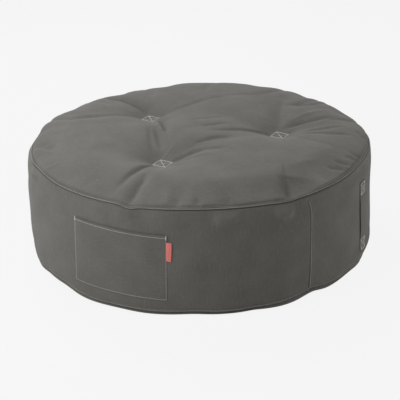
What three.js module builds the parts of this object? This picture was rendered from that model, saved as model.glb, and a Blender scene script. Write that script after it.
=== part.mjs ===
import * as THREE from 'three';

// A low round floor pouf. One filled canvas cushion stands on its flat base: a crowned top panel,
// drawn down at three stitched tufts, and a bulging band, joined by sewn channels at top and bottom.
// Sewn on it are a patch pocket, a folded ribbon tab at the pocket's side and a webbing handle.
// Millimetres, +Z up. The origin is the middle of the base, the pocket faces -Y and the handle +X.
// An azimuth is in degrees, from -Y towards +X, so the pocket is at 0 and the handle at 90.

// ---- Driving sizes ----
const HEIGHT = 345.5;            // floor to the highest point that the crown would reach untufted
const SEWING_GAP = 0.3;          // clearance under everything that is sewn to the band
const SEGMENTS_ROUND = 96;       // facets round the cushion

// Top seam: the channel where the top panel meets the band, and the sewn lip above it
const TOP_CHANNEL = { radius: 482.5, height: 295 };
const TOP_LIP = { radius: 487.5, height: 299.5 };
const TOP_STITCH_GROOVE = { radius: 482, height: 309 };
const CROWN_ROUNDNESS = 5;       // power of the crown's curve: higher is flatter with steeper sides
const CROWN_RIM_HOLD = 4;        // power with which the seam's unevenness fades towards the middle

// Round the front the crown runs down to the seam in an even slope, instead of over a full edge
const SLOPED_RIM = { azimuth: 20, spread: 76, foot: 302.5, fall: 0.4, blend: 2.5 };

// Band: its outside runs from the bottom seam's radius to the top seam's and swells between them
const BAND = { bottom: 12, top: 290, bottomRadius: 500, topRadius: 491, swell: 7.5, fullness: 4 };
const BAND_FULL_RADIUS = (BAND.bottomRadius + BAND.topRadius) / 2 + BAND.swell;

// Base: flat nearly to its edge, then rolled up to the bottom seam's channel
const BASE_FLAT_RADIUS = 470;
const BASE_ROLL = [
  { radius: 493, height: 0.5 },
  { radius: 500, height: 3 },
];
const BASE_CHANNEL = { radius: 496, height: 7.5 };

// Where the cloth pulls the seams and the sides out of true. Lifts and swells are in mm. Each fades
// over its width in degrees and, for a swell, over its spread in height.
const TOP_SEAM_WAVES = [
  { azimuth: -20, width: 14, lift: -3 },
  { azimuth: 4, width: 5, lift: -6 },
  { azimuth: 31, width: 15, lift: 5 },
  { azimuth: 72, width: 20, lift: 5.2 },
  { azimuth: -112, width: 44, lift: -20 },
];
const BOTTOM_SEAM_WAVES = [
  { azimuth: 61, width: 13, lift: 12 },
  { azimuth: -25, width: 12, lift: 4 },
  { azimuth: 156, width: 14, lift: 5 },
  { azimuth: -119, width: 16, lift: 6 },
];
const SIDE_SWELLS = [
  { azimuth: 104, width: 36, height: 60, spread: 110, swell: 8 },
  { azimuth: 118, width: 30, height: 300, spread: 90, swell: 7 },
  { azimuth: -56, width: 32, height: 90, spread: 80, swell: -5 },
  { azimuth: -2, width: 26, height: 0, spread: 50, swell: 7 },
];

// Tufts: square stitched patches, drawn down to the tops of the seams
const TUFT_SIDE = 40;
const TUFT_TURN = -4.8;          // degrees that the patches' sides are turned from +X
const TUFT_HEIGHT = 301;
const TUFT_REACH = 90;           // distance from a patch at which the pull has faded to a third
const TUFT_SHARPNESS = 1.2;      // power of that fading: lower is more sharply pinched
const TUFTS = [
  { name: 'left', x: -201, y: 84 },
  { name: 'front', x: -5, y: -218 },
  { name: 'right', x: 209, y: 120 },
];

// Soft troughs that run from the tufts to each other and out to the seam
const TROUGHS = [
  { fromX: -201, fromY: 84, toX: -5, toY: -218, depth: 9, width: 30 },
  { fromX: -5, fromY: -218, toX: 209, toY: 120, depth: 8, width: 30 },
  { fromX: 209, fromY: 120, toX: -201, toY: 84, depth: 5, width: 34 },
  { fromX: -201, fromY: 84, toX: -366, toY: 176, depth: 9, width: 24 },
  { fromX: -201, fromY: 84, toX: -426, toY: -56, depth: 4, width: 24 },
  { fromX: -5, fromY: -218, toX: -31, toY: -406, depth: 8, width: 24 },
  { fromX: -5, fromY: -218, toX: 39, toY: -469, depth: 8, width: 24 },
  { fromX: 209, fromY: 120, toX: 137, toY: 357, depth: 8, width: 26 },
  { fromX: 209, fromY: 120, toX: 267, toY: 321, depth: 7, width: 24 },
  { fromX: 209, fromY: 120, toX: 399, toY: 214, depth: 7, width: 24 },
  { fromX: 362, fromY: -232, toX: 409, toY: -318, depth: 5, width: 24 },
];

// Pocket: one layer of canvas, with its mouth at the top standing off a little
const POCKET = { azimuth: 0, arc: 274, bottom: 42, top: 229, thickness: 1.4, mouthGape: 1.2 };

// Tab: a ribbon folded in two, its fold outwards, beside the pocket
const TAB = { bottom: 157, top: 210, reach: 14.5, layer: 0.8, layerGap: 0.6 };

// Handle: a vertical webbing strap, sewn down flat at both ends and standing off between them
const HANDLE = { azimuth: 90, bottom: 51, top: 257, width: 38, thickness: 2.4 };
const HANDLE_SEWN_LENGTH = 37;
const HANDLE_RISE_LENGTH = 26;   // over which the strap leaves the band
const HANDLE_STANDOFF = 6;       // clear gap behind the free span

// ---- Materials ----
const canvas = new THREE.MeshStandardMaterial({ color: 0x6f6d68, roughness: 0.92, metalness: 0 });
const pocketCanvas = new THREE.MeshStandardMaterial({ color: 0x6b6965, roughness: 0.92, metalness: 0 });
const ribbon = new THREE.MeshStandardMaterial({ color: 0xd9594c, roughness: 0.7, metalness: 0 });
const webbing = new THREE.MeshStandardMaterial({ color: 0x676662, roughness: 0.85, metalness: 0 });

// ---- Small helpers ----
const radians = THREE.MathUtils.degToRad;
const radiansToDegrees = THREE.MathUtils.radToDeg;
const bell = (distance, width) => Math.exp(-((distance / width) ** 2));

/** Degrees between two azimuths, the short way round. */
function azimuthGap(a, b) {
  return Math.abs(THREE.MathUtils.euclideanModulo(a - b + 180, 360) - 180);
}

/** Sum of the waves' lifts at an azimuth. */
function seamLift(waves, azimuth) {
  return waves.reduce((sum, wave) => sum + wave.lift * bell(azimuthGap(azimuth, wave.azimuth), wave.width), 0);
}

/** How far the side stands out of true at an azimuth and a height. */
function sideSwell(azimuth, height) {
  return SIDE_SWELLS.reduce((sum, { azimuth: centre, width, height: middle, spread, swell }) => (
    sum + swell * bell(azimuthGap(azimuth, centre), width) * bell(height - middle, spread)
  ), 0);
}

/** Radius of the band's outside at an azimuth and a height. */
function bandRadius(azimuth, height) {
  const share = THREE.MathUtils.clamp((height - BAND.bottom) / (BAND.top - BAND.bottom), 0, 1);
  const seamToSeam = THREE.MathUtils.lerp(BAND.bottomRadius, BAND.topRadius, share);
  const swell = BAND.swell * (1 - Math.abs(2 * share - 1) ** BAND.fullness);
  return seamToSeam + swell + sideSwell(azimuth, height);
}

/** Height of the crown's curve at a radius, before tufts and troughs. */
function crownHeight(radius) {
  const rise = HEIGHT - TOP_STITCH_GROOVE.height;
  const share = Math.min(radius / TOP_STITCH_GROOVE.radius, 1);
  return TOP_STITCH_GROOVE.height + rise * Math.sqrt(1 - share ** CROWN_ROUNDNESS);
}

/** How far the crown lies below its full curve at an azimuth and a radius, where its rim is sloped. */
function rimSlump(azimuth, radius) {
  const { azimuth: middle, spread, foot, fall, blend } = SLOPED_RIM;
  const share = Math.exp(-((azimuthGap(azimuth, middle) / spread) ** 6));
  const full = crownHeight(radius);
  const slope = foot + fall * (TOP_STITCH_GROOVE.radius - radius);
  const lower = -blend * Math.log(Math.exp(-full / blend) + Math.exp(-slope / blend));
  return share * (full - lower);
}

/** Distance from a point to a square patch's edge, and 0 on the patch. */
function distanceToTuft(x, y, tuft) {
  const turn = radians(TUFT_TURN);
  const dx = x - tuft.x;
  const dy = y - tuft.y;
  const along = Math.abs(dx * Math.cos(turn) + dy * Math.sin(turn));
  const across = Math.abs(dy * Math.cos(turn) - dx * Math.sin(turn));
  return Math.hypot(Math.max(along - TUFT_SIDE / 2, 0), Math.max(across - TUFT_SIDE / 2, 0));
}

/** How far the cloth of the crown is drawn down at a point, by the tufts and the troughs. */
function crownDrop(x, y) {
  let free = 1;                            // 1 where no tuft is felt, 0 on a patch
  for (const tuft of TUFTS) {
    free *= 1 - Math.exp(-((distanceToTuft(x, y, tuft) / TUFT_REACH) ** TUFT_SHARPNESS));
  }
  let trough = 0;
  for (const { fromX, fromY, toX, toY, depth, width } of TROUGHS) {
    const run = new THREE.Vector2(toX - fromX, toY - fromY);
    const share = ((x - fromX) * run.x + (y - fromY) * run.y) / run.lengthSq();
    const along = THREE.MathUtils.clamp(share, 0, 1);
    const away = Math.hypot(x - fromX - along * run.x, y - fromY - along * run.y);
    trough = Math.max(trough, depth * bell(away, width));
  }
  return (crownHeight(Math.hypot(x, y)) - TUFT_HEIGHT) * (1 - free) + trough * free;
}

/** The upright section of the cushion, from the middle of the base to the middle of the crown. */
function cushionSection() {
  const bandHeights = [12, 23, 42, 68, 100, 135, 170, 205, 235, 260, 278, 290];
  const crownRadii = [474, 460, 441, 418, 392, 366, 340, 314, 290, 268, 248, 228, 206, 182, 154, 120, 82, 42, 0];
  return [
    { radius: 0, height: 0 },
    { radius: 230, height: 0 },
    { radius: 400, height: 0 },
    { radius: BASE_FLAT_RADIUS, height: 0 },
    ...BASE_ROLL,
    BASE_CHANNEL,
    ...bandHeights.map((height) => ({ radius: BAND_FULL_RADIUS, height, onBand: true })),
    TOP_CHANNEL,
    TOP_LIP,
    TOP_STITCH_GROOVE,
    ...crownRadii.map((radius) => ({ radius, height: crownHeight(radius), onCrown: true })),
  ];
}

/** The filled cushion: its section turned about Z, then drawn out of true point by point. */
function makeCushion() {
  const section = cushionSection();
  const outline = section.map(({ radius, height }) => new THREE.Vector2(radius, height));
  const geometry = new THREE.LatheGeometry(outline, SEGMENTS_ROUND);
  const position = geometry.getAttribute('position');
  for (let i = 0; i < position.count; i += 1) {
    const row = section[i % section.length];
    const facet = Math.floor(i / section.length) % SEGMENTS_ROUND;
    const azimuth = (360 * facet) / SEGMENTS_ROUND;
    const bottomLift = seamLift(BOTTOM_SEAM_WAVES, azimuth);
    const topLift = seamLift(TOP_SEAM_WAVES, azimuth);
    let { radius, height } = row;
    if (row.onBand) {
      const share = (height - BAND.bottom) / (BAND.top - BAND.bottom);
      height += bottomLift * (1 - share) ** 3 + topLift * share ** 3;
      radius = bandRadius(azimuth, height);
    } else if (height <= BASE_CHANNEL.height) {
      radius += sideSwell(azimuth, height) * (height / BASE_CHANNEL.height);
      height += bottomLift * (height / BASE_CHANNEL.height);
    } else {
      const nearSeam = Math.min(radius / TOP_STITCH_GROOVE.radius, 1) ** CROWN_RIM_HOLD;
      radius += sideSwell(azimuth, height) * nearSeam;
      height += topLift * nearSeam;
      if (row.onCrown || row === TOP_STITCH_GROOVE) {
        height -= rimSlump(azimuth, row.radius);
      }
    }
    const x = radius * Math.sin(radians(azimuth));
    const y = -radius * Math.cos(radians(azimuth));
    if (row.onCrown) {
      height -= crownDrop(x, y);
    }
    position.setXYZ(i, x, y, height);
  }
  return geometry;
}

/**
 * Lays a flat piece on the band. Its X runs round the band from the azimuth, its Y is the height
 * and its Z stands off the band's outside.
 */
function layOnBand(geometry, azimuth) {
  const position = geometry.getAttribute('position');
  for (let i = 0; i < position.count; i += 1) {
    const angle = azimuth + radiansToDegrees(position.getX(i) / BAND_FULL_RADIUS);
    const height = position.getY(i);
    const radius = bandRadius(angle, height) + SEWING_GAP + position.getZ(i);
    position.setXYZ(i, radius * Math.sin(radians(angle)), -radius * Math.cos(radians(angle)), height);
  }
  return geometry;
}

/** Patch pocket: a sheet that lies on the band and gapes slightly at its mouth. */
function makePocket() {
  const tall = POCKET.top - POCKET.bottom;
  const geometry = new THREE.BoxGeometry(POCKET.arc, tall, POCKET.thickness, 18, 12, 1);
  geometry.translate(0, (POCKET.bottom + POCKET.top) / 2, POCKET.thickness / 2);
  const position = geometry.getAttribute('position');
  for (let i = 0; i < position.count; i += 1) {
    const fromSides = 1 - (2 * position.getX(i) / POCKET.arc) ** 2;
    const up = (position.getY(i) - POCKET.bottom) / tall;
    position.setZ(i, position.getZ(i) + POCKET.mouthGape * fromSides * up ** 4);
  }
  return layOnBand(geometry, POCKET.azimuth);
}

/** Ribbon tab: two layers and the fold that joins them, as one back-and-forth section. */
function makeTab() {
  const { reach, layer, layerGap, bottom, top } = TAB;
  const thickness = 2 * layer + layerGap;
  const foldAt = reach - thickness / 2;
  const section = new THREE.Shape();
  section.moveTo(0, 0);
  section.absarc(foldAt, thickness / 2, thickness / 2, -Math.PI / 2, Math.PI / 2, false);
  section.lineTo(0, thickness);
  section.lineTo(0, thickness - layer);
  section.absarc(foldAt, thickness / 2, layerGap / 2, Math.PI / 2, -Math.PI / 2, true);
  section.lineTo(0, layer);
  section.closePath();
  const geometry = new THREE.ExtrudeGeometry(section, {
    depth: top - bottom,
    steps: 3,
    bevelEnabled: false,
    curveSegments: 6,
  });
  geometry.rotateX(-Math.PI / 2);          // the ribbon's width now runs up the band
  geometry.translate(0, bottom, thickness);
  const pocketSide = radiansToDegrees((POCKET.arc / 2 + SEWING_GAP) / BAND_FULL_RADIUS);
  return layOnBand(geometry, POCKET.azimuth + pocketSide);
}

/** Webbing handle: its ends lie on the band and its free span stands off as a low bow. */
function makeHandle() {
  const { width, thickness, bottom, top } = HANDLE;
  const geometry = new THREE.BoxGeometry(width, top - bottom, thickness, 4, 24, 1);
  geometry.translate(0, (bottom + top) / 2, thickness / 2);
  const position = geometry.getAttribute('position');
  for (let i = 0; i < position.count; i += 1) {
    const fromEnd = Math.min(position.getY(i) - bottom, top - position.getY(i));
    const rise = THREE.MathUtils.smoothstep(fromEnd, HANDLE_SEWN_LENGTH, HANDLE_SEWN_LENGTH + HANDLE_RISE_LENGTH);
    position.setZ(i, position.getZ(i) + HANDLE_STANDOFF * rise);
  }
  return layOnBand(geometry, HANDLE.azimuth);
}

const pieces = [
  { name: 'cushion', geometry: makeCushion(), material: canvas },
  { name: 'side_pocket', geometry: makePocket(), material: pocketCanvas },
  { name: 'pocket_tab', geometry: makeTab(), material: ribbon },
  { name: 'carry_handle', geometry: makeHandle(), material: webbing },
];

const pouf = new THREE.Group();
for (const { name, geometry, material } of pieces) {
  const mesh = new THREE.Mesh(geometry, material);
  mesh.name = name;
  pouf.add(mesh);
}

export default pouf;
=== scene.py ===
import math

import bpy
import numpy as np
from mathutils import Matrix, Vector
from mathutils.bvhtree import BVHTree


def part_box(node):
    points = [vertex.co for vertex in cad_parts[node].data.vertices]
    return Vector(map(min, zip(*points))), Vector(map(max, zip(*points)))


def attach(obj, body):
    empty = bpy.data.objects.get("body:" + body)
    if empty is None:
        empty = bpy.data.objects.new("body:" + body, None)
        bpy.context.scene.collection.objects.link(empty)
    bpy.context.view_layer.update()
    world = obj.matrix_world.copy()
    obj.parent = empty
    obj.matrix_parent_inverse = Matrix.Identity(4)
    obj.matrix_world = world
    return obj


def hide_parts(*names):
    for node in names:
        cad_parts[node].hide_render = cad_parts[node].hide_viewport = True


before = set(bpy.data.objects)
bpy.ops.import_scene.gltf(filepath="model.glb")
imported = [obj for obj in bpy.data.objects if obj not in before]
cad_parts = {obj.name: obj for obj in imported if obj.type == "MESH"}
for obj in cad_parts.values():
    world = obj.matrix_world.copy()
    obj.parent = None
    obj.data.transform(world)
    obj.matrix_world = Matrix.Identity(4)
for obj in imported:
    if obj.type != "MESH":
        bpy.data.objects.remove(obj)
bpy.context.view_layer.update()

# A low round floor pouf in grey canvas: a crowned top panel drawn down at three box-stitched tufts,
# a bulging band with one upright seam, a patch pocket with a coral ribbon tab, and a webbing handle.
# Forms are worked out in millimetres and turned to metres when a mesh is made. The pouf stands on
# its flat base at the origin, and an azimuth is in degrees from -Y towards +X.

MM = 0.001


def frame_heights(node):
    """Lowest and highest height of a frame node, in millimetres."""
    low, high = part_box(node)
    return low.z / MM, high.z / MM


# ---- Sizes of the cushion

# Top seam: the channel between band and top panel, the sewn lip above it and its stitch groove
TOP_SEAM = [
    # radius, height
    (491.6, 283.5), (491.0, 287.0), (490.0, 289.8), (488.6, 291.6), (486.6, 292.8), (484.6, 293.5),
    (484.2, 294.3), (485.8, 294.9), (487.2, 295.5), (488.0, 296.5), (488.0, 297.5), (487.4, 298.4),
    (486.2, 299.0), (485.0, 299.5), (484.5, 300.6), (484.4, 302.6), (484.1, 304.8), (483.5, 307.0),
    (482.4, 309.0),
]
# Bottom seam: the roll of the base, the channel, the sewn lip above it and its stitch groove
BOTTOM_SEAM = [
    # radius, height
    (485.0, 0.1), (492.0, 0.5), (497.0, 1.6), (500.0, 3.4), (499.6, 5.2), (497.4, 6.6), (496.0, 7.6),
    (498.0, 8.8), (500.8, 10.6), (501.8, 13.2), (501.4, 15.6), (500.0, 17.2),
]
CROWN_PEAK = 345.5               # where the crown would reach with no tufts
CROWN_RADIUS = 482.0
CROWN_FOOT = 309.0
CROWN_ROUNDNESS = 5.0
RIM_HOLD = 4.0                   # how fast the seam's unevenness fades towards the middle
BASE_FLAT_RADIUS = 470.0
NOTCH_RADIUS, NOTCH_WIDTH, NOTCH_DEPTH = 482.8, 2.2, 3.4    # between the lip and the crown
NOTCH_DEEPENINGS = [
    # azimuth, width, extra depth
    (-48.0, 16, 4.4), (-20.0, 16, 2.8), (84.0, 24, -3.2),
]

BAND_BOTTOM, BAND_TOP = 12.0, 290.0
BAND_BOTTOM_RADIUS, BAND_TOP_RADIUS = 500.0, 491.0
BAND_SWELL, BAND_FULLNESS = 7.5, 4.0
BAND_FULL_RADIUS = (BAND_BOTTOM_RADIUS + BAND_TOP_RADIUS) / 2 + BAND_SWELL
BAND_SEAM_AZIMUTH = 61.1
CROWN_GRAIN = 25.2               # turn of the top panel's weft

# Where the cloth pulls the seams and sides out of true
TOP_SEAM_WAVES = [
    # azimuth, width, lift
    (-46.8, 6, -2.5), (-36.8, 5, 2.5), (-19.8, 14, -3.0), (4.2, 2.8, -7.5), (9.2, 4, -1.5),
    (30.2, 15, 5.0), (43.2, 6, 1.5), (53.2, 4, -2.5), (72.2, 20, 5.2), (-111.8, 46, -22.0),
    (-93.8, 6, -3.0), (-120.8, 5, -2.5), (-139.8, 6, -3.0), (157.2, 5, -3.0), (136.2, 6, -3.5),
    (-68.8, 4, -5.0),
]
TOP_SEAM_PULLS = [
    # azimuth, width, how far the seam is drawn in
    (93.0, 15, 9.0),
]
TOP_SEAM_PULL_FADE = 16          # down the band
ROLL_WAVES = [
    # azimuth, width, lift of the base's roll under the hem
    (63.7, 4.0, 8.0), (23.2, 5, 1.0), (-118.8, 14, 3.0),
]
BOTTOM_SEAM_WAVES = [
    # azimuth, width, lift
    (61.2, 13, 10.0), (63.7, 2.6, 5.0), (-24.8, 12, 4.0), (23.2, 5, 1.6), (156.2, 14, 5.0),
    (-118.8, 16, 6.0),
]
SIDE_SWELLS = [
    # azimuth, width, height, spread, swell
    (104.2, 36, 60, 110, 8.0), (118.2, 30, 300, 90, 7.0), (-55.8, 32, 90, 80, -5.0), (-1.8, 26, 0, 50, 7.0),
    (-8.8, 9, 8, 32, 7.0), (9.2, 7, 8, 28, 5.0), (24.2, 5, 4, 24, -4.0), (42.2, 3, 4, 24, -3.0),
    (51.2, 6, 8, 30, 5.0), (89.2, 5, 10, 40, 4.0), (-35.8, 4, 10, 36, 5.0), (-68.8, 16, 305, 26, -6.0),
    (-65.8, 10, 20, 40, -4.0), (115.2, 14, 290, 34, 5.0), (115.2, 14, 130, 50, -3.0),
    (96.0, 12, 41, 16, 5.5), (108.0, 20, 138, 50, 2.6), (82.0, 7, 3, 20, -2.5),
    (-51.0, 9, 14, 34, -3.6), (-54.0, 14, 222, 24, -2.8), (-21.0, 6, 4, 20, -5.0),
    (60.0, 4, 6, 20, -3.0), (104.0, 14, 2, 14, -3.5), (-33.0, 6, 4, 20, -4.0), (118.0, 10, 300, 30, 3.0),
]
# Where the band's filling carries what is sewn on it a little up
SEWN_LIFTS = [
    # azimuth, width, height, spread, lift
    (-15.0, 26, 190, 150, 3.4), (0.0, 34, 30, 140, 3.4), (17.0, 4, 150, 32, 2.2),
]
# Soft ledges and hollows of the band just under the top seam
BAND_LEDGES = [
    # azimuth, width, height, rise to the seam, spread below, swell
    (2.6, 2.8, 284, 8, 20, 6.0), (33.4, 3.0, 281, 15, 20, 14.0), (36.6, 1.6, 286, 10, 16, 6.0),
    (49.4, 1.2, 281, 12, 16, 6.0), (52.0, 2.4, 276, 17, 20, 14.0), (-41.0, 3.0, 274, 14, 20, 8.0),
    (18.2, 5.0, 262, 24, 20, -1.2), (42.2, 6.0, 258, 24, 22, -1.6), (-27.8, 8.0, 258, 24, 24, -1.4),
    (82.2, 5.0, 266, 20, 24, 3.0), (76.0, 4.0, 258, 24, 24, -2.4), (-45.8, 7.0, 236, 40, 40, 1.5),
    (69.2, 5.0, 60, 60, 45, -2.0), (53.2, 6.0, 90, 80, 60, -1.6), (61.2, 6.0, 26, 16, 12, 2.0),
]

# Tufts
TUFT_SIDE = 40.0
TUFT_TURN = -4.8
TUFT_HEIGHT = 301.0
TUFT_REACH, TUFT_SHARPNESS = 66.0, 1.1
TUFTS = {"left": (-201, 84), "front": (-5, -218), "right": (209, 120)}

# Soft troughs between the tufts and out to the seam
TROUGHS = [
    # start, end, depth, width
    (TUFTS["left"], TUFTS["front"], 5, 34),
    (TUFTS["front"], TUFTS["right"], 7, 40),
    (TUFTS["right"], TUFTS["left"], 4, 40),
    (TUFTS["left"], (-364, 152), 6, 34),
    (TUFTS["left"], (-426, -56), 3, 30),
    (TUFTS["front"], (-11, -404), 3, 34),
    (TUFTS["front"], (39, -469), 2, 40),
    (TUFTS["right"], (142, 337), 5, 30),
    (TUFTS["right"], (267, 321), 4, 30),
    (TUFTS["right"], (377, 232), 3, 34),
]
TROUGH_BLEND = 3                 # the higher, the less troughs add up where they meet

# Places where the top panel lies lower
CROWN_DIPS = [
    # x, y, reach, depth
    (-469, 34, 40, 3.0), (-464, 70, 36, 6.5), (-398, 233, 36, 5.0), (-348, 302, 32, 5.0),
    (-302, 349, 36, 6.0), (7, 471, 30, 4.0), (179, 437, 28, 5.0), (345, 335, 40, 6.5),
    (-441, -168, 30, 6.0), (-212, 38, 32, 4.5),
]
DIP_FADE_END, DIP_FADE = 2, 12   # dips fade out to this far past the crown, over this width

# Round the front the crown runs down to the seam in an even slope, without a full edge
SLOPED_RIM_MIDDLE, SLOPED_RIM_SPREAD = 20.0, 84.0
SLOPED_RIM_FOOT, SLOPED_RIM_FALL = 302.5, 0.40
RIM_BLEND = 2.5                  # how softly the even slope meets the full edge
FULLER_RIMS = [
    # azimuth, width, share of the full edge that is kept
    (30.5, 4.0, 0.30), (23.0, 2.4, 0.22), (15.5, 2.4, 0.22), (-16.5, 5.0, 0.20), (50.0, 4.0, 0.15),
]

# Creases of the top panel, each along its valley and with its own bank on either side
CREASE_END_FADE, CREASE_BANK_CURVE = 0.6, 1.3
CREASE_TUFT_HOLD = 8             # how fast a crease ends at a tuft's sewn patch
CREASES = [
    # line of the valley, depth, width of the bank to its left, to its right
    ([(-400, 158), (-333, 150), (-293, 134), (-250, 121), (-219, 108)], 15.0, 14, 9),
    ([(-520, -58), (-450, -66), (-382, -78), (-313, -34), (-269, 20), (-235, 67)], 8.5, 12, 20),
    ([(-180, 110), (-143, 138), (-112, 168), (-87, 206), (-57, 246), (-27, 272)], 4.0, 9, 24),
    ([(-166, 84), (-124, 14), (-90, -34), (-66, -74)], 16.0, 16, 8),
    ([(-128, -6), (-106, -36), (-84, -64)], -4.0, 8, 10),
    ([(-144, -29), (-92, -127), (-58, -180)], 5.0, 16, 8),
    ([(-126, -31), (-75, -111), (-37, -159)], 11.0, 20, 8),
    ([(-16, -240), (-17, -310), (-15, -360), (-18, -400), (-24, -437)], 9.5, 13, 8),
    ([(13, -352), (30, -395), (33, -440), (33, -478)], 8.0, 9, 20),
    ([(15, -196), (40, -172), (59, -148), (82, -132), (143, -124)], 7.0, 8, 20),
    ([(23, -213), (66, -200), (116, -182)], 2.6, 8, 14),
    ([(24, -23), (66, 0), (112, 37), (139, 63), (186, 109)], 4.4, 8, 22),
    ([(43, -108), (57, -84), (84, -48), (116, -22)], 5.5, 8, 16),
    ([(139, 320), (155, 270), (169, 228), (193, 165)], 7.0, 9, 32),
    ([(150, 290), (197, 312), (236, 350), (262, 410)], 6.5, 12, 24),
    ([(206, 178), (240, 236), (272, 284), (300, 330)], -5.0, 16, 16),
    ([(214, 160), (246, 188), (282, 217), (319, 249)], 7.5, 11, 9),
    ([(275, 130), (326, 154), (374, 197)], 4.5, 8, 12),
    ([(282, 106), (354, 118), (420, 150)], 4.5, 8, 12),
    ([(254, 88), (329, 42), (412, 23)], 2.2, 8, 16),
    ([(416, 194), (448, 168), (474, 148)], 6.0, 12, 7),
    ([(434, -52), (452, -40), (474, -22)], 6.0, 7, 4),
    ([(428, -96), (446, -84), (466, -66)], 6.0, 7, 4),
    ([(444, -2), (458, 8), (476, 18)], 5.0, 6, 4),
    ([(448, 40), (468, 40), (482, 50)], 4.0, 6, 6),
    ([(13, -354), (29, -376), (42, -412)], 3.0, 10, 6),
    ([(350, -210), (372, -247), (390, -278), (396, -292)], 18.0, 50, 15),
    ([(372, -110), (410, -135), (452, -150)], 7.0, 22, 80),
    ([(-392, -262), (-352, -276), (-306, -290)], 7.0, 10, 10),
    ([(-332, -268), (-292, -322), (-250, -372)], 7.0, 14, 44),
    ([(262, -380), (277, -396), (288, -401)], 4.0, 7, 30),
    ([(150, -432), (155, -447), (160, -460)], 3.5, 7, 22),
    ([(196, -412), (206, -430), (214, -440)], 3.5, 7, 26),
    ([(-86, -412), (-112, -444), (-122, -466)], 2.5, 14, 30),
    ([(-22, -24), (10, 1), (36, 29), (72, 65)], 3.0, 8, 14),
    ([(-50, 36), (-12, 69), (30, 104)], 3.0, 8, 14),
    ([(-44, 269), (1, 305), (55, 330)], 3.0, 10, 16),
    ([(61, 327), (86, 412), (95, 475)], 6.0, 14, 14),
    ([(186, 290), (211, 370), (231, 431)], 6.0, 14, 16),
    ([(317, 232), (369, 267), (410, 296)], 5.0, 12, 16),
    ([(-331, 85), (-386, 107), (-453, 130)], 5.0, 14, 14),
    ([(-249, 198), (-286, 245), (-330, 296)], 5.0, 14, 16),
    ([(-112, 290), (-136, 363), (-138, 438)], 4.0, 14, 20),
    ([(-405, 26), (-442, -8), (-470, -21)], 3.0, 10, 14),
]

# ---- Sizes of the sewn-on pieces

SEWING_GAP = 0.3
STITCH_SINK, STITCH_SINK_WIDTH = 0.5, 1.2
POCKET_BOTTOM, POCKET_TOP = frame_heights("side_pocket")
POCKET_AZIMUTH, POCKET_ARC = 0.5, 275.0
POCKET_THICKNESS = 1.3
POCKET_HEM = 6.5                 # from the mouth's edge to the hem's stitching
POCKET_INSET = 2.4               # from the sides and the bottom to their stitching
POCKET_PUFF, POCKET_PUFF_RISE = 1.0, 30
POCKET_MOUTH_GAP, POCKET_MOUTH_RISE = 1.3, 40
TAB_BOTTOM, TAB_TOP = frame_heights("pocket_tab")
TAB_REACH = 14.5
TAB_FOLDED, TAB_LAYER = 2.2, 0.8  # thickness of the folded ribbon, and of one layer of it
TAB_CAUGHT = 1.1                 # length of its cut ends caught in the pocket's edge
HANDLE_BOTTOM, HANDLE_TOP = frame_heights("carry_handle")
HANDLE_AZIMUTH, HANDLE_WIDTH, HANDLE_THICKNESS = 90.0, 38.0, 2.1
HANDLE_SEWN, HANDLE_RISE, HANDLE_STANDOFF = 37.0, 26.0, 1.4


# ---- Form of the cushion, on arrays of azimuths and heights or of x and y

def bell(distance, width):
    return np.exp(-(distance / width) ** 2)


def azimuth_gap(a, b):
    """Degrees between azimuths, the short way round."""
    return np.abs((a - b + 180.0) % 360.0 - 180.0)


def seam_lift(waves, azimuth):
    return sum(lift * bell(azimuth_gap(azimuth, centre), width) for centre, width, lift in waves)


def swell_of(swells, azimuth, height):
    return sum(
        swell * bell(azimuth_gap(azimuth, centre), width) * bell(height - middle, spread)
        for centre, width, middle, spread, swell in swells
    )


def ledge_of(azimuth, height):
    """Swell of the band's ledges: each slopes out from under the seam and fades below its edge."""
    total = 0.0
    for centre, width, edge, rise, below, swell in BAND_LEDGES:
        slope = np.clip(1 - (height - edge) / rise, 0, 1)
        share = np.where(height > edge, slope, bell(height - edge, below))
        total = total + swell * np.exp(-(azimuth_gap(azimuth, centre) / width) ** 3) * share
    return total


def seam_pull(azimuth, height):
    """How far the top seam is drawn in, fading down the band."""
    below_seam = np.minimum(height - TOP_SEAM[0][1], 0)
    return seam_lift(TOP_SEAM_PULLS, azimuth) * bell(below_seam, TOP_SEAM_PULL_FADE)


def band_radius(azimuth, height):
    """Radius of the band's outside, without its ledges."""
    share = np.clip((height - BAND_BOTTOM) / (BAND_TOP - BAND_BOTTOM), 0, 1)
    seam_to_seam = BAND_BOTTOM_RADIUS + (BAND_TOP_RADIUS - BAND_BOTTOM_RADIUS) * share
    swell = BAND_SWELL * (1 - np.abs(2 * share - 1) ** BAND_FULLNESS)
    return seam_to_seam + swell + swell_of(SIDE_SWELLS, azimuth, height)


def crown_height(radius):
    share = np.minimum(radius / CROWN_RADIUS, 1)
    return CROWN_FOOT + (CROWN_PEAK - CROWN_FOOT) * np.sqrt(1 - share ** CROWN_ROUNDNESS)


def tuft_axes(x, y, centre):
    """Coordinates on a tuft's patch, along its sides."""
    turn = math.radians(TUFT_TURN)
    dx, dy = x - centre[0], y - centre[1]
    return dx * math.cos(turn) + dy * math.sin(turn), dy * math.cos(turn) - dx * math.sin(turn)


def tuft_distance(x, y, centre):
    along, across = tuft_axes(x, y, centre)
    half = TUFT_SIDE / 2
    return np.hypot(np.maximum(np.abs(along) - half, 0), np.maximum(np.abs(across) - half, 0))


def off_line(x, y, start, end):
    """Share along a line, distance off it with left counted as positive, and its length."""
    run_x, run_y = end[0] - start[0], end[1] - start[1]
    length = math.hypot(run_x, run_y)
    share = ((x - start[0]) * run_x + (y - start[1]) * run_y) / length ** 2
    held = np.clip(share, 0, 1)
    off_x, off_y = x - start[0] - held * run_x, y - start[1] - held * run_y
    side = np.sign(run_x * off_y - run_y * off_x)
    return share, side * np.hypot(off_x, off_y), length


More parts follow.
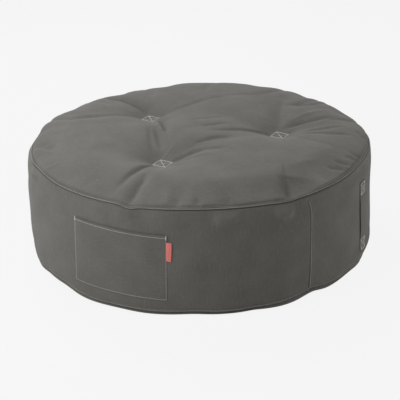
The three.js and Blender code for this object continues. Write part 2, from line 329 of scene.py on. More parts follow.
def crease_depth(x, y, crease):
    """Depth of one crease: it fades towards both ends, and its banks have their own widths."""
    points, depth, left, right = crease
    spans = list(zip(points, points[1:]))
    total = sum(math.dist(start, end) for start, end in spans)
    off, place, done = np.full(np.shape(x), 1e6), np.zeros(np.shape(x)), 0.0
    for start, end in spans:
        share, aside, length = off_line(x, y, start, end)
        nearer = np.abs(aside) < np.abs(off)
        off = np.where(nearer, aside, off)
        place = np.where(nearer, (done + np.clip(share, 0, 1) * length) / total, place)
        done += length
    fade = np.sin(np.pi * np.clip(place, 0.02, 0.98)) ** CREASE_END_FADE
    width = np.where(off > 0, left, right)
    return depth * fade * np.exp(-np.abs(off / width) ** CREASE_BANK_CURVE)


def rim_slope_share(azimuth):
    """1 where the crown slopes evenly to the seam, 0 where it keeps its full edge."""
    fuller = sum(kept * bell(azimuth_gap(azimuth, centre), width) for centre, width, kept in FULLER_RIMS)
    return np.exp(-(azimuth_gap(azimuth, SLOPED_RIM_MIDDLE) / SLOPED_RIM_SPREAD) ** 8) * (1 - fuller)


def rim_slump(azimuth, radius):
    """How far the sloped rim lies below the full edge."""
    full = crown_height(radius)
    slope = SLOPED_RIM_FOOT + SLOPED_RIM_FALL * (CROWN_RADIUS - radius)
    lower = -RIM_BLEND * np.log(np.exp(-full / RIM_BLEND) + np.exp(-slope / RIM_BLEND))
    return rim_slope_share(azimuth) * (full - lower)


def crown_drop(x, y):
    """How far the crown's cloth is drawn down by tufts, troughs and creases."""
    free = 1.0
    for centre in TUFTS.values():
        free = free * (1 - np.exp(-(tuft_distance(x, y, centre) / TUFT_REACH) ** TUFT_SHARPNESS))
    trough = 0.0
    for start, end, depth, width in TROUGHS:
        _, off, _ = off_line(x, y, start, end)
        trough = trough + (depth * bell(off, width)) ** TROUGH_BLEND
    trough = trough ** (1 / TROUGH_BLEND)
    creases = sum(crease_depth(x, y, crease) for crease in CREASES)
    dips = sum(depth * bell(np.hypot(x - cx, y - cy), reach) for cx, cy, reach, depth in CROWN_DIPS)
    radius = np.hypot(x, y)
    azimuth = np.degrees(np.arctan2(x, -y))
    dips = dips * np.clip((CROWN_RADIUS + DIP_FADE_END - radius) / DIP_FADE, 0, 1)
    dips = dips + rim_slump(azimuth, np.minimum(radius, CROWN_RADIUS))
    pull = (crown_height(radius) - TUFT_HEIGHT) * (1 - free)
    return pull + (trough + dips) * free + creases * np.minimum(1, CREASE_TUFT_HOLD * free)


# Ranges that each gather along a seam is drawn from
PUCKER_WIDTHS, PUCKER_DEPTHS, PUCKER_REACHES = (0.9, 2.4), (-0.9, 0.7), (10, 42)
PUCKER_START = 3.0


def seam_puckers(seed, count, azimuth, from_seam):
    """Gathers that run off a seam: each has its own place, width, depth and reach."""
    draw = np.random.default_rng(seed)
    total = 0.0
    for _ in range(count):
        centre, width = draw.uniform(0, 360), draw.uniform(*PUCKER_WIDTHS)
        depth, reach = draw.uniform(*PUCKER_DEPTHS), draw.uniform(*PUCKER_REACHES)
        total = total + depth * bell(azimuth_gap(azimuth, centre), width) * np.exp(-from_seam / reach)
    return total * (1 - np.exp(-from_seam / PUCKER_START))


def rolling(seed, u, v, shortest, longest, count=14):
    """Smooth unevenness of cloth over filling, about one high: a sum of seeded plane waves."""
    draw = np.random.default_rng(seed)
    total = 0.0
    for _ in range(count):
        way, length = draw.uniform(0, math.tau), draw.uniform(shortest, longest)
        phase = draw.uniform(0, math.tau)
        total = total + np.sin(math.tau * (u * math.cos(way) + v * math.sin(way)) / length + phase)
    return total / math.sqrt(count)


# ---- Cloth that settles over its filling

# Steps of the cloth's grid, down and across, along which it keeps its length
THREADS = [(0, 1), (1, 0), (1, 1), (1, -1)]
THREAD_PULL, SMOOTHING = 0.45, 0.05
# How strongly the filling holds the cloth against lifting, pressing in and sliding
LIFT_HOLD, PRESS_HOLD, SLIDE_HOLD = 0.006, 0.05, 0.01


def thread_pairs(shape, step):
    """Two sets of slices that pair each grid point with the one a step away, no point twice in a set."""
    rows, columns = shape
    down, across = step
    pairs = []
    for parity in (0, 1):
        if down:
            near = slice(parity, rows - 1, 2)
            far = slice(parity + 1, rows, 2)
            if across >= 0:
                pairs.append(((near, slice(0, columns - across)), (far, slice(across, columns))))
            else:
                pairs.append(((near, slice(-across, columns)), (far, slice(0, columns + across))))
        else:
            pairs.append(((slice(0, rows), slice(parity, columns - 1, 2)),
                          (slice(0, rows), slice(parity + 1, columns, 2))))
    return pairs


def settle(target, normal, excess, free, start, passes):
    """Settles a grid of cloth with excess length over its filling, and returns its displacement.

    target and normal are grids of the filling's points and outward directions. excess gives, for a
    grid step, the extra share of length at every point. free is 0 where the cloth is sewn down.
    The filling yields little inwards and holds the cloth only loosely outwards.
    """
    cloth = target + start
    lengths = []
    for step in THREADS:
        for near, far in thread_pairs(target.shape[:2], step):
            flat = np.linalg.norm(target[far] - target[near], axis=-1)
            extra = (excess(step)[near] + excess(step)[far]) / 2
            lengths.append((near, far, flat * (1 + extra)))
    free = free[..., None]
    for _ in range(passes):
        for near, far, rest in lengths:
            gap = cloth[far] - cloth[near]
            length = np.linalg.norm(gap, axis=-1)
            push = gap * (THREAD_PULL * (length - rest) / np.maximum(length, 1e-6))[..., None]
            cloth[near] += push * free[near]
            cloth[far] -= push * free[far]
        moved = cloth - target
        around = moved.copy()
        beside = moved[2:, 1:-1] + moved[:-2, 1:-1] + moved[1:-1, 2:] + moved[1:-1, :-2]
        around[1:-1, 1:-1] = beside / 4
        off = np.sum(moved * normal, axis=-1, keepdims=True)
        hold = np.where(off > 0, LIFT_HOLD, PRESS_HOLD)
        slide = moved - off * normal
        cloth += free * (SMOOTHING * (around - moved) - hold * off * normal - SLIDE_HOLD * slide)
    return cloth - target


def grid_sample(grid, low, step, x, y):
    """Values of a square grid at points, blended between the four nearest."""
    column = np.clip((x - low) / step, 0, grid.shape[1] - 1.001)
    row = np.clip((y - low) / step, 0, grid.shape[0] - 1.001)
    c, r = column.astype(int), row.astype(int)
    u, v = (column - c)[..., None], (row - r)[..., None]
    near = grid[r, c] * (1 - u) + grid[r, c + 1] * u
    far = grid[r + 1, c] * (1 - u) + grid[r + 1, c + 1] * u
    return near * (1 - v) + far * v


def grid_normals(points):
    """Upward directions square to a grid of points."""
    along = np.gradient(points, axis=1)
    up_way = np.gradient(points, axis=0)
    normal = np.cross(along, up_way)
    return normal / np.linalg.norm(normal, axis=-1, keepdims=True)


CROWN_GRID_STEP = 4.5
CROWN_GRID_REACH = 486.0
# Excess cloth: gathered round each tuft, at the seam and across the folds that join the tufts
TUFT_EXCESS, TUFT_EXCESS_REACH = 0.022, 60.0
RIM_EXCESS, RIM_EXCESS_REACH = 0.03, 32.0
GENERAL_EXCESS = 0.002
FOLD_END_FADE = 0.5
FOLD_LINES = [
    # start, end, excess across it, width
    (TUFTS["left"], TUFTS["front"], 0.02, 34),
    (TUFTS["front"], TUFTS["right"], 0.02, 50),
    (TUFTS["front"], (-24, -425), 0.02, 34),
    (TUFTS["left"], (-371, 176), 0.015, 30),
    (TUFTS["right"], (379, 212), 0.02, 70),
]
CROWN_SEWN_EDGE = 3              # width inside the seam where the cloth is held
START_SEED, START_UNEVENNESS = 41, 0.5
SETTLE_PASSES, QUICK_PASSES = 400, 20


def settled_crown():
    """Displacement of the crown's cloth on a square grid, and the grid's low corner."""
    places = np.arange(-CROWN_GRID_REACH, CROWN_GRID_REACH + 1, CROWN_GRID_STEP)
    x, y = np.meshgrid(places, places)
    radius = np.hypot(x, y)
    target = np.stack([x, y, crown_height(radius) - crown_drop(x, y)], -1)
    normal = grid_normals(target)
    strain = np.zeros((*x.shape, 3))     # along x, along y, and their cross term

    def add_excess(amount, way_x, way_y):
        strain[..., 0] += amount * way_x * way_x
        strain[..., 1] += amount * way_y * way_y
        strain[..., 2] += amount * way_x * way_y

    for centre in TUFTS.values():
        away_x, away_y = x - centre[0], y - centre[1]
        away = np.maximum(np.hypot(away_x, away_y), 1)
        amount = TUFT_EXCESS * np.exp(-tuft_distance(x, y, centre) / TUFT_EXCESS_REACH)
        add_excess(amount, -away_y / away, away_x / away)
    rim = RIM_EXCESS * np.exp(-np.maximum(CROWN_RADIUS - radius, 0) / RIM_EXCESS_REACH)
    add_excess(rim, -y / np.maximum(radius, 1), x / np.maximum(radius, 1))
    for start, end, amount, width in FOLD_LINES:
        share, off, length = off_line(x, y, start, end)
        inside = np.clip(4 * share * (1 - share), 0, 1) ** FOLD_END_FADE * bell(off, width)
        way_x, way_y = (end[1] - start[1]) / length, -(end[0] - start[0]) / length
        add_excess(amount * inside, way_x, way_y)
    strain[..., :2] += GENERAL_EXCESS

    def excess(step):
        down, across = step
        size = math.hypot(down, across)
        way_x, way_y = across / size, down / size
        along_x, along_y = strain[..., 0] * way_x ** 2, strain[..., 1] * way_y ** 2
        return along_x + along_y + 2 * strain[..., 2] * way_x * way_y

    free = (radius < CROWN_RADIUS - CROWN_SEWN_EDGE).astype(float)
    for centre in TUFTS.values():
        free *= tuft_distance(x, y, centre) > 0
    draw = np.random.default_rng(START_SEED)
    start = normal * (draw.normal(0, START_UNEVENNESS, x.shape) * free)[..., None]
    passes = SETTLE_PASSES
    return settle(target, normal, excess, free, start, passes), -CROWN_GRID_REACH


# ---- Meshes from grids

def make_object(name, vertices, faces, uvs=None):
    """A smooth-shaded mesh object from millimetre points, and a UV in metres for each face corner."""
    mesh = bpy.data.meshes.new(name)
    mesh.from_pydata((np.asarray(vertices) * MM).tolist(), [], [list(map(int, f)) for f in faces])
    if uvs is not None:
        layer = mesh.uv_layers.new(name="cloth")
        layer.data.foreach_set("uv", (np.asarray(uvs, dtype=np.float32) * MM).ravel())
    mesh.shade_smooth()
    mesh.update()
    obj = bpy.data.objects.new(name, mesh)
    bpy.context.scene.collection.objects.link(obj)
    return obj


# Zones and rows of the cushion's mesh, from the middle of the base to the middle of the crown
BASE, BAND, LIP, CROWN = range(4)
BASE_ROWS = (60, 140, 220, 300, 370, 420, 450, BASE_FLAT_RADIUS)
BAND_ROWS, BAND_ROW_EASE = 44, 0.06
RIM_ROWS = (481.5, 480.4, 478.8, 476.6, 473.8, 470.4, 466.4, 461.8)
CROWN_ROWS_FIRST, CROWN_ROWS_END, CROWN_ROW_STEP = 456.5, 60, 5.2
CENTRE_ROWS = (48, 34, 20)
COLUMNS_BESIDE_SEAM = (0, 0.12, 0.26, 0.42, 0.62, 0.86, 1.14, 1.5)
EVEN_COLUMNS, EVEN_COLUMNS_START = 520, 2.2


def cushion_rows():
    """The fine upright section: arrays of radius, height and zone."""
    rows = [(radius, 0.0, BASE) for radius in BASE_ROWS]
    rows += [(radius, height, BASE) for radius, height in BOTTOM_SEAM]
    lowest, highest = BOTTOM_SEAM[-1][1], TOP_SEAM[0][1]
    for share in np.linspace(0, 1, BAND_ROWS)[1:-1]:
        eased = share - BAND_ROW_EASE * math.sin(math.tau * share)
        rows.append((BAND_FULL_RADIUS, lowest + (highest - lowest) * eased, BAND))
    rows += [(radius, height, LIP) for radius, height in TOP_SEAM]
    across = np.arange(CROWN_ROWS_FIRST, CROWN_ROWS_END, -CROWN_ROW_STEP)
    rows += [(radius, float(crown_height(radius)), CROWN) for radius in (*RIM_ROWS, *across, *CENTRE_ROWS)]
    radius, height, zone = np.array(rows).T
    return radius, height, zone.astype(int)


def cushion_azimuths():
    """Azimuths once round from the upright seam, closer together beside it."""
    even = np.linspace(EVEN_COLUMNS_START, 360 - EVEN_COLUMNS_START, EVEN_COLUMNS)
    after = [360 - s for s in COLUMNS_BESIDE_SEAM[:0:-1]]
    return BAND_SEAM_AZIMUTH + np.concatenate([COLUMNS_BESIDE_SEAM, even, after])


# Smooth unevenness of the cloth over its filling
UNEVENNESS = {
    # seed, shortest wave, longest wave, height
    "bottom_seam": (5, 110, 260, 0.7),
    "top_seam": (6, 90, 240, 0.6),
    "band": (9, 150, 420, 0.8),
    "crown": (12, 110, 330, 0.9),
    "pocket": (31, 60, 150, 0.5),
}
# Arc of one degree, by which an azimuth becomes a distance round the pouf
DEGREE_AT_BOTTOM, DEGREE_AT_TOP, DEGREE_ON_BAND = 8.7, 8.5, 8.8
TOP_SEAM_GATHERS, BOTTOM_SEAM_GATHERS = (21, 90), (22, 80)      # seed, count

BASE_STEADY_RADIUS, BASE_SWELL_WIDTH = 440, 45      # swells grow outwards from here
ROLL_TOP, HEM_RISE = 3.4, 4                         # the roll's own waves give way to the hem's
BASE_LIFT_RADIUS, BASE_LIFT_WIDTH = 478, 20
MOST_SINK = 0.6                                     # share of its height that the roll may sink
LIP_TOP = 300.5
CROWN_RELIEF_RISE = 60


def uneven(part, u, v):
    seed, shortest, longest, size = UNEVENNESS[part]
    return size * rolling(seed, u, v, shortest, longest)


def base_form(azimuth, radius, height, bottom_lift):
    """Radius and height of the base and the roll under the hem."""
    outer = np.clip((radius - BASE_STEADY_RADIUS) / BASE_SWELL_WIDTH, 0, 1)
    hem = np.clip((height - ROLL_TOP) / HEM_RISE, 0, 1)
    lift = seam_lift(ROLL_WAVES, azimuth) * (1 - hem) + bottom_lift * hem
    rising = np.clip((radius - BASE_LIFT_RADIUS) / BASE_LIFT_WIDTH, 0, 1)
    out = radius + swell_of(SIDE_SWELLS, azimuth, height) * outer
    return out, height + np.maximum(lift, -MOST_SINK * height) * rising


def band_form(azimuth, height, bottom_lift, top_lift):
    """Radius and height of the band, with its ledges, gathers and joining seam."""
    share = np.clip((height - BAND_BOTTOM) / (BAND_TOP - BAND_BOTTOM), 0, 1)
    lifted = height + bottom_lift * (1 - share) ** 3 + top_lift * share ** 3
    radius = band_radius(azimuth, lifted) + ledge_of(azimuth, lifted) - seam_pull(azimuth, height)
    from_top, from_bottom = BAND_TOP - height, height - BOTTOM_SEAM[-1][1]
    radius = radius + seam_puckers(*TOP_SEAM_GATHERS, azimuth, np.maximum(from_top, 0))
    radius = radius + seam_puckers(*BOTTOM_SEAM_GATHERS, azimuth, np.maximum(from_bottom, 0))
    middle = np.clip(4 * share * (1 - share), 0, 1)
    radius = radius + middle * uneven("band", azimuth * DEGREE_ON_BAND, lifted)
    return radius + upright_seam(azimuth, height), lifted


def lip_form(azimuth, radius, height, zone, top_lift):
    """Radius and height of the lip, and of the crown before its tufts and creases."""
    near_seam = np.minimum(radius / CROWN_RADIUS, 1) ** RIM_HOLD
    swell = swell_of(SIDE_SWELLS, azimuth, height) - seam_pull(azimuth, height)
    lifted = height + top_lift * near_seam
    out = radius + swell * near_seam + ledge_of(azimuth, lifted) * (zone == LIP)
    foot = np.clip((height - LIP_TOP) / (CROWN_FOOT - LIP_TOP), 0, 1) * (zone == LIP)
    lifted = lifted - rim_slump(azimuth, np.array(CROWN_RADIUS)) * foot
    notch = NOTCH_DEPTH + seam_lift(NOTCH_DEEPENINGS, azimuth)
    return out, lifted - notch * bell(radius - NOTCH_RADIUS, NOTCH_WIDTH) * (zone >= LIP)


def cushion_surface():
    """Grid of points of the cushion's outside, with the height and zone of each of its rows."""
    row_radius, row_height, zone = cushion_rows()
    azimuth = cushion_azimuths()[None, :]
    radius = np.repeat(row_radius[:, None], azimuth.size, 1)
    height = np.repeat(row_height[:, None], azimuth.size, 1)
    zone = zone[:, None]
    bottom_lift, top_lift = seam_lift(BOTTOM_SEAM_WAVES, azimuth), seam_lift(TOP_SEAM_WAVES, azimuth)
    bottom_lift = bottom_lift + uneven("bottom_seam", azimuth * DEGREE_AT_BOTTOM, 0)
    top_lift = top_lift + uneven("top_seam", azimuth * DEGREE_AT_TOP, 0)

    base_radius, base_height = base_form(azimuth, radius, height, bottom_lift)
    side_radius, side_height = band_form(azimuth, height, bottom_lift, top_lift)
    top_radius, top_height = lip_form(azimuth, radius, height, zone, top_lift)
    angle = np.radians(azimuth)
    x, y = top_radius * np.sin(angle), -top_radius * np.cos(angle)
    from_seam = np.maximum(CROWN_RADIUS - radius, 0)
    relief = uneven("crown", x, y) * np.clip(from_seam / CROWN_RELIEF_RISE, 0, 1)
    crown = top_height - crown_drop(x, y) + relief

    zones = [zone == BASE, zone == BAND, zone == LIP]
    out = np.select(zones[:2], [base_radius, side_radius], top_radius)
    raised = np.select(zones, [base_height, side_height, top_height], crown)
    points = np.stack([out * np.sin(angle), -out * np.cos(angle), raised], -1)
    grid, low = settled_crown()
    points += np.where((zone == CROWN)[..., None], grid_sample(grid, low, CROWN_GRID_STEP, x, y), 0)
    return points, row_height, zone[:, 0]


SEAM_BEND, SEAM_BEND_FROM, SEAM_BEND_RISE = 10.0, 250, 40
LAP_HEIGHT, LAP_WIDTH, LAP_EDGE, LAP_FADE = 1.1, 9, 1.2, 3
SEAM_GROOVE, SEAM_GROOVE_WIDTH = 1.2, 1.6


def seam_bend(height):
    """How far the band's joining seam bends to the left as it nears the top seam."""
    return SEAM_BEND * np.clip((height - SEAM_BEND_FROM) / SEAM_BEND_RISE, 0, 1) ** 2


def upright_seam(azimuth, height):
    """The band's joining seam: one cloth laps over the other, with a stitched edge."""
    arc = ((azimuth - BAND_SEAM_AZIMUTH + 180) % 360 - 180) * math.radians(1) * BAND_FULL_RADIUS
    arc = arc + seam_bend(height)
    lap = LAP_HEIGHT * np.clip(arc / LAP_EDGE, 0, 1) * (1 - np.clip((arc - LAP_WIDTH) / LAP_FADE, 0, 1))
    return lap - SEAM_GROOVE * bell(arc + LAP_EDGE, SEAM_GROOVE_WIDTH)


BAND_CLOTH_BOTTOM, BAND_CLOTH_TOP = 7.6, 296       # the band's cloth turns under both seams


def make_cushion():
    points, row_height, zone = cushion_surface()
    rows, columns = points.shape[:2]
    vertices = [*points.reshape(-1, 3), (0, 0, 0), (0, 0, points[-1, :, 2].mean())]
    arc = (cushion_azimuths() - BAND_SEAM_AZIMUTH) * math.radians(1) * BAND_FULL_RADIUS
    arc = [*arc, math.tau * BAND_FULL_RADIUS]
    grain = math.radians(CROWN_GRAIN)
    turned = [[math.cos(grain), -math.sin(grain)], [math.sin(grain), math.cos(grain)]]
    flat = points[..., :2] @ np.array(turned)
    faces, uvs = [], []
    for row in range(rows - 1):
        low, high = row_height[row], row_height[row + 1]
        banded = zone[row] != CROWN and BAND_CLOTH_BOTTOM <= low < BAND_CLOTH_TOP
        for column in range(columns):
            following = (column + 1) % columns
            corners = [(row, column), (row, following), (row + 1, following), (row + 1, column)]
            faces.append([r * columns + c for r, c in corners])
            if banded:
                left, right = arc[column], arc[column + 1]
                uvs += [(low, left), (low, right), (high, right), (high, left)]
            else:
                uvs += [tuple(flat[r, c]) for r, c in corners]
    bottom, top = rows * columns, rows * columns + 1
    last = (rows - 1) * columns
    for column in range(columns):
        following = (column + 1) % columns
        faces.append([bottom, following, column])
        uvs += [(0, 0), tuple(flat[0, following]), tuple(flat[0, column])]
        faces.append([top, last + column, last + following])
        uvs += [(0, 0), tuple(flat[-1, column]), tuple(flat[-1, following])]
    return make_object("pouf_cushion", vertices, faces, uvs)


def closed_sheet(name, front, back, flat_u, flat_v):
    """A sheet from its front and back grids of points, closed round its edges."""
    rows, columns = front.shape[:2]
    count = rows * columns
    vertices = np.concatenate([front.reshape(-1, 3), back.reshape(-1, 3)])
    flat = np.stack([flat_u.ravel(), flat_v.ravel()], -1)
    faces = []
    for r in range(rows - 1):
        for c in range(columns - 1):
            a, b = r * columns + c, r * columns + c + 1
            d, e = a + columns, b + columns
            faces.append([a, b, e, d])
            faces.append([count + a, count + d, count + e, count + b])
    rim = list(range(columns))
    rim += [r * columns + columns - 1 for r in range(1, rows)]
    rim += [(rows - 1) * columns + c for c in range(columns - 2, -1, -1)]
    rim += [r * columns for r in range(rows - 2, 0, -1)]
    for here, there in zip(rim, rim[1:] + rim[:1]):
        faces.append([there, here, count + here, count + there])
    uvs = [flat[v % count] for face in faces for v in face]
    return make_object(name, vertices, faces, uvs)


def on_band(azimuth, across, height, off):
    """Points that lie off the band: across runs round it from the azimuth, in millimetres."""
    angle = azimuth + np.degrees(across / BAND_FULL_RADIUS)
    height = height + swell_of(SEWN_LIFTS, angle, height)
    radius = band_radius(angle, height) + SEWING_GAP + off
    turn = np.radians(angle)
    return np.stack([radius * np.sin(turn), -radius * np.cos(turn), height], -1)


def edge_steps(length, step, near=(0.0, 0.5, 1.2, 2.2, 3.6, 5.2, 7.0)):
    """Places along a length: close together at both ends, evenly spaced between."""
    middle = np.arange(near[-1] + step, length - near[-1] - step / 2, step)
    return np.concatenate([near, middle, [length - n for n in reversed(near)]])


def rounded(distance, radius):
    """How far a rounded edge has fallen at a distance from it."""
    inside = np.clip(1 - distance / radius, 0, 1)
    return radius * (1 - np.sqrt(1 - inside ** 2))


POCKET_STEP, POCKET_EDGE = 6.0, 0.9
POCKET_HEM_THICKNESS, POCKET_HEM_BELOW, POCKET_HEM_EDGE = 0.7, 2.5, 1.2


def make_pocket():
    tall = POCKET_TOP - POCKET_BOTTOM
    u, v = np.meshgrid(edge_steps(POCKET_ARC, POCKET_STEP), edge_steps(tall, POCKET_STEP))
    across, height = u - POCKET_ARC / 2, POCKET_BOTTOM + v
    side, from_mouth = np.minimum(u, POCKET_ARC - u), tall - v
    sewn = np.minimum(side, v)
    puff = POCKET_PUFF * (1 - np.exp(-sewn / POCKET_PUFF_RISE)) * (1 + uneven("pocket", u, v))
    mouth = POCKET_MOUTH_GAP * (1 - np.exp(-side / POCKET_MOUTH_RISE)) * np.clip(v / tall, 0, 1) ** 5
    sunk = bell(sewn - POCKET_INSET, STITCH_SINK_WIDTH) + bell(from_mouth - POCKET_HEM, STITCH_SINK_WIDTH)
    past_hem = np.clip((from_mouth - POCKET_HEM - POCKET_HEM_BELOW) / POCKET_HEM_EDGE, 0, 1)
    back = np.maximum(puff, 0) + mouth
    front = back + POCKET_THICKNESS + POCKET_HEM_THICKNESS * (1 - past_hem) - STITCH_SINK * sunk
    front = front - rounded(np.minimum(sewn, from_mouth), POCKET_EDGE)
    return closed_sheet(
        "patch_pocket",
        on_band(POCKET_AZIMUTH, across, height, front),
        on_band(POCKET_AZIMUTH, across, height, back),
        u, v,
    )


TAB_STEP, TAB_END_STEPS = 4.0, (0.0, 0.4, 1.0, 2.0)
TAB_OFF_BAND, TAB_BOW, TAB_SLANT = 0.1, 0.5, 3.0
TAB_SPREAD, TAB_LOWER_DRAW = 0.97, 0.13             # share of its reach, and its loss at the bottom


def tab_section():
    """The folded ribbon's outline: along from its cut ends, and off the band."""
    middle, hole = TAB_FOLDED / 2, TAB_FOLDED / 2 - TAB_LAYER
    fold_at = TAB_REACH - middle
    outer = [(fold_at * share, 0) for share in (0, 0.35, 0.7, 1)]
    outer += [(fold_at + middle * math.sin(t), middle * (1 - math.cos(t)))
              for t in np.linspace(0, math.pi, 9)[1:-1]]
    outer += [(fold_at * share, TAB_FOLDED) for share in (1, 0.7, 0.35, 0)]
    inner = [(fold_at * share, TAB_FOLDED - TAB_LAYER) for share in (0, 0.5, 1)]
    inner += [(fold_at + hole * math.sin(t), middle + hole * math.cos(t))
              for t in np.linspace(0, math.pi, 7)[1:-1]]
    inner += [(fold_at * share, TAB_LAYER) for share in (1, 0.5, 0)]
    return np.array(outer + inner)


def make_tab():
    """The ribbon's one back-and-forth section, run up the band."""
    section = tab_section()
    reached = section[:, 0] / TAB_REACH
    heights = TAB_BOTTOM + edge_steps(TAB_TOP - TAB_BOTTOM, TAB_STEP, TAB_END_STEPS)
    vertices = []
    for height in heights:
        share = (height - TAB_BOTTOM) / (TAB_TOP - TAB_BOTTOM)
        spread = TAB_SPREAD - TAB_LOWER_DRAW * (1 - share) ** 2
        across = POCKET_ARC / 2 - TAB_CAUGHT + section[:, 0] * spread
        off = section[:, 1] + TAB_BOW * math.sin(math.pi * share) * reached + TAB_OFF_BAND
        vertices.append(on_band(POCKET_AZIMUTH, across, height - TAB_SLANT * (1 - share) * reached, off))
    count, levels = len(section), len(heights)
    faces = []
    for r in range(levels - 1):
        for c in range(count):
            d = (c + 1) % count
            faces.append([r * count + c, r * count + d, (r + 1) * count + d, (r + 1) * count + c])
    faces.append(list(range(count))[::-1])
    faces.append([(levels - 1) * count + c for c in range(count)])
    run = np.concatenate([[0], np.cumsum(np.hypot(*np.diff(section, axis=0).T))])
    uvs = [(run[v % count], heights[v // count] - TAB_BOTTOM) for face in faces for v in face]
    return make_object("ribbon_tab", np.concatenate(vertices), faces, uvs)


def handle_off(from_end):
    """How far the handle's back stands off the band at a distance from its nearer end."""
    share = np.clip((from_end - HANDLE_SEWN) / HANDLE_RISE, 0, 1)
    return HANDLE_STANDOFF * share * share * (3 - 2 * share)


HANDLE_STEPS, HANDLE_EDGE = (2.4, 3.0), 1.1
HANDLE_INSET, HANDLE_END_STITCH = 3.5, 2.0          # from its edges, and from where it starts to rise
HANDLE_CUP, HANDLE_SEWN_CUP = 0.5, 0.3


def make_handle():
    tall = HANDLE_TOP - HANDLE_BOTTOM
    u, v = np.meshgrid(edge_steps(HANDLE_WIDTH, HANDLE_STEPS[0]), edge_steps(tall, HANDLE_STEPS[1]))
    across, height = u - HANDLE_WIDTH / 2, HANDLE_BOTTOM + v
    from_end = np.minimum(v, tall - v)
    edge = np.minimum(np.minimum(u, HANDLE_WIDTH - u), from_end)
    sewn = from_end < HANDLE_SEWN
    sunk = bell(edge - HANDLE_INSET, STITCH_SINK_WIDTH)
    sunk = sunk + bell(from_end - HANDLE_SEWN + HANDLE_END_STITCH, STITCH_SINK_WIDTH)
    cup = HANDLE_CUP * (np.abs(across) / (HANDLE_WIDTH / 2)) ** 2 * np.where(sewn, HANDLE_SEWN_CUP, 1)
    back = handle_off(from_end)
    front = back + HANDLE_THICKNESS - np.where(sewn, STITCH_SINK * sunk, 0)
    front = front - rounded(edge, HANDLE_EDGE) - cup
    return closed_sheet(
        "webbing_handle",
        on_band(HANDLE_AZIMUTH, across, height, front),
        on_band(HANDLE_AZIMUTH, across, height, back),
        u, v,
    )


# ---- Thread

def stitch_shape():
    """One lockstitch as it shows on the cloth: a small rounded grain, one long and one thick."""
    bpy.ops.object.select_all(action="DESELECT")
    bpy.ops.mesh.primitive_uv_sphere_add(segments=6, ring_count=5, radius=0.5)
    grain = bpy.context.object
    points = np.array([v.co[:] for v in grain.data.vertices])[:, [2, 0, 1]]
    faces = [list(p.vertices) for p in grain.data.polygons]
    bpy.data.objects.remove(grain, do_unlink=True)
    return points, faces


STITCH_POINTS, STITCH_FACES = stitch_shape()
STITCH_STAND = 0.18              # share of its thickness by which a stitch stands off the cloth
SEEK_FROM, SEEK_LENGTH = 30, 90  # the cloth is sought from this far outside, over this length


def sew(name, lines, tree, outward, pitch=4.2, length=3.4, thickness=0.9):
    """Rows of stitches along lines of points, each seated on the surface under it.

    outward gives, for a point, the direction from the cloth to look back along.
    """
    vertices, faces = [], []
    for line in lines:
        line = np.asarray(line, dtype=float)
        run = np.concatenate([[0], np.cumsum(np.linalg.norm(np.diff(line, axis=0), axis=1))])
        count = max(int(round(run[-1] / pitch)), 1)
        centres = (np.arange(count) + 0.5) * run[-1] / count
        for at in centres:
            ends = []
            for s in (at - length / 2, at + length / 2):
                point = np.array([np.interp(s, run, line[:, k]) for k in range(3)])
                away = outward(point)
                start = Vector((point + away * SEEK_FROM) * MM)
                hit, normal, _, _ = tree.ray_cast(start, Vector(-away), SEEK_LENGTH * MM)
                if hit is None:
                    break
                ends.append((np.array(hit) / MM, np.array(normal)))
            if len(ends) < 2:
                continue
            (first, n1), (second, n2) = ends
            normal = (n1 + n2) / np.linalg.norm(n1 + n2)
            forward = (second - first) / max(np.linalg.norm(second - first), 1e-6)
            sideways = np.cross(normal, forward)
            sideways /= np.linalg.norm(sideways)
            normal = np.cross(forward, sideways)
            middle = (first + second) / 2 + normal * thickness * STITCH_STAND
            base = len(vertices)
            vertices.extend(middle + STITCH_POINTS[:, :1] * forward * length
                            + STITCH_POINTS[:, 1:2] * sideways * thickness
                            + STITCH_POINTS[:, 2:] * normal * thickness)
            faces.extend([[base + v for v in face] for face in STITCH_FACES])
    return make_object(name, vertices, faces)


def surface_tree(*objects):
    """A ray-casting tree of finished pieces, in metres."""
    vertices, polygons = [], []
    for obj in objects:
        base = len(vertices)
        vertices += [v.co.copy() for v in obj.data.vertices]
        polygons += [[base + v for v in p.vertices] for p in obj.data.polygons]
    return BVHTree.FromPolygons(vertices, polygons)


def up(point):
    return np.array([0.0, 0.0, 1.0])


def outwards(point):
    away = np.array([point[0], point[1], 0.0])
    return away / np.linalg.norm(away)


# Where each row of stitches runs
TOP_SEAM_THREAD, BOTTOM_SEAM_THREAD = (487.8, 297.4), (501.6, 14.0)     # radius, height
BAND_SEAM_ENDS, BAND_SEAM_STITCH_OFF = (20, 290), 3.2
ABOVE_CROWN = 320
TUFT_BOLD_LINES, TUFT_FINE_LINES = (0, 1, 2, 3, 5), (4,)                # of box_lines
BARTACK_LENGTH, BARTACK_PAST, BARTACK_ROWS = 11, 0.5, (-0.5, 0.3, 1.1)
POCKET_STITCH_START, HANDLE_BOX_SHIFT = 1, 0.5
LINE_STEP = 6


def ring_line(radius, height, waves):
    """A line once round the pouf that swells and rises with the cloth."""
    azimuth = np.linspace(0, 360, 721) + BAND_SEAM_AZIMUTH
    out = radius + swell_of(SIDE_SWELLS, azimuth, height)
    turn = np.radians(azimuth)
    return np.stack([out * np.sin(turn), -out * np.cos(turn), height + seam_lift(waves, azimuth)], -1)


def box_lines(side):
    """A square's outline and its two diagonals, as lines of flat points about the middle."""
    h = side / 2
    corners = [(-h, -h), (h, -h), (h, h), (-h, h), (-h, -h)]
    return [corners[i:i + 2] for i in range(4)] + [[(-h, -h), (h, h)], [(-h, h), (h, -h)]]


